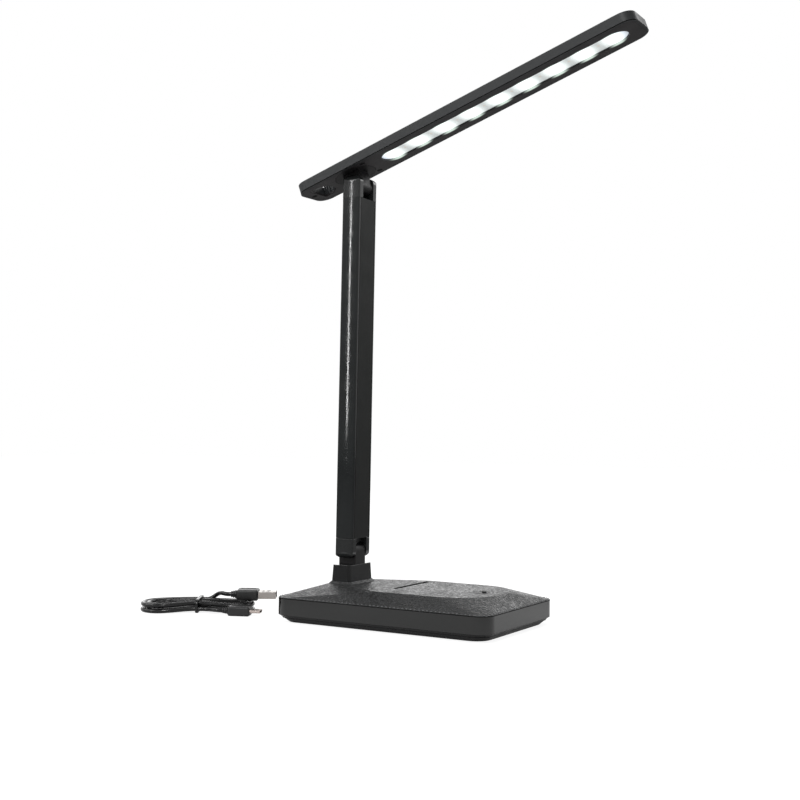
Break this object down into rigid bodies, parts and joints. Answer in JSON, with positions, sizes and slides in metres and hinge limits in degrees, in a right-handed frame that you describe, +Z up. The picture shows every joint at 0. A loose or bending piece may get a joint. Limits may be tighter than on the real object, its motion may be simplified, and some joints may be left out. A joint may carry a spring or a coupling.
{
  "type": "folding led desk lamp",
  "caption": "Slim LED desk lamp: a weighted base with a touch key, an arm that folds down over it, a head that tilts and swivels, and a loose USB charging lead in a tied hank.",
  "frame": {"origin": "middle of the base's footprint, on the underside of its grip pad", "axes": "+X from the hinge post towards the touch key, where the lit head reaches out; +Y across the base; +Z up"},
  "size_m": [0.3306, 0.1108, 0.3661],
  "materials": {
    "textured_black": "fine leather grain, satin",
    "gloss_black": "moulded gloss",
    "hammered_black": "orange-peel gloss",
    "matte_black": "smooth matt",
    "pad_rubber": "matt",
    "ballast_steel": "rolled plate",
    "bright_steel": "zinc plated",
    "brass_parts": "bare",
    "cell_wrap": "shrink film",
    "circuit_green": "solder mask",
    "board_white": "solder mask",
    "cool_emitter": "lit",
    "warm_emitter": "phosphor",
    "diffuser_white": "satin translucent",
    "wire_red": "satin",
    "cord_black": "satin",
    "plug_steel": "bright"
  },
  "bodies": {
    "base": {"base_cover": "textured_black", "base_pan": "gloss_black", "grip_pad": "pad_rubber", "ballast_plate": "ballast_steel", "battery": "cell_wrap", "control_board": "circuit_green", "charge_socket": "plug_steel", "touch_key": "gloss_black", "touch_spring": "brass_parts", "base_screws": "bright_steel", "hinge_post": "gloss_black", "post_screws": "bright_steel", "lower_knuckle": "gloss_black", "lead_hank": "cord_black", "lead_tie": "cord_black", "usb_a_tail": "cord_black", "usb_a_body": "matte_black", "usb_a_shell": "plug_steel", "micro_tail": "cord_black", "micro_body": "matte_black", "micro_shell": "plug_steel"},
    "arm": {"lower_fork": "hammered_black", "lower_pins": "bright_steel", "lower_washers": "brass_parts", "arm_shell": "hammered_black", "arm_cover": "matte_black", "arm_screws": "bright_steel", "arm_wires": "wire_red", "upper_fork": "hammered_black", "upper_pins": "bright_steel", "upper_washers": "brass_parts"},
    "neck": {"head_knuckle": "gloss_black"},
    "head": {"head_shell": "textured_black", "head_cover": "matte_black", "head_screws": "bright_steel", "lens": "diffuser_white", "led_board": "board_white", "cool_leds": "cool_emitter", "warm_leds": "warm_emitter", "swivel_washer": "bright_steel"}
  },
  "joints": [
    {"name": "arm_fold", "type": "hinge", "parent": "base", "child": "arm", "pos_m": [-0.0468, 0, 0.0436], "axis": [0, 1, 0], "range_deg": [-30, 89.5]},
    {"name": "head_tilt", "type": "hinge", "parent": "arm", "child": "neck", "pos_m": [-0.04461, 0, 0.28039], "axis": [0, -1, 0], "range_deg": [-110.2, 30]},
    {"name": "head_swivel", "type": "hinge", "parent": "neck", "child": "head", "pos_m": [-0.04781, 0, 0.28933], "axis": [-0.3371, 0, 0.9415], "range_deg": [-90, 90]}
  ]
}
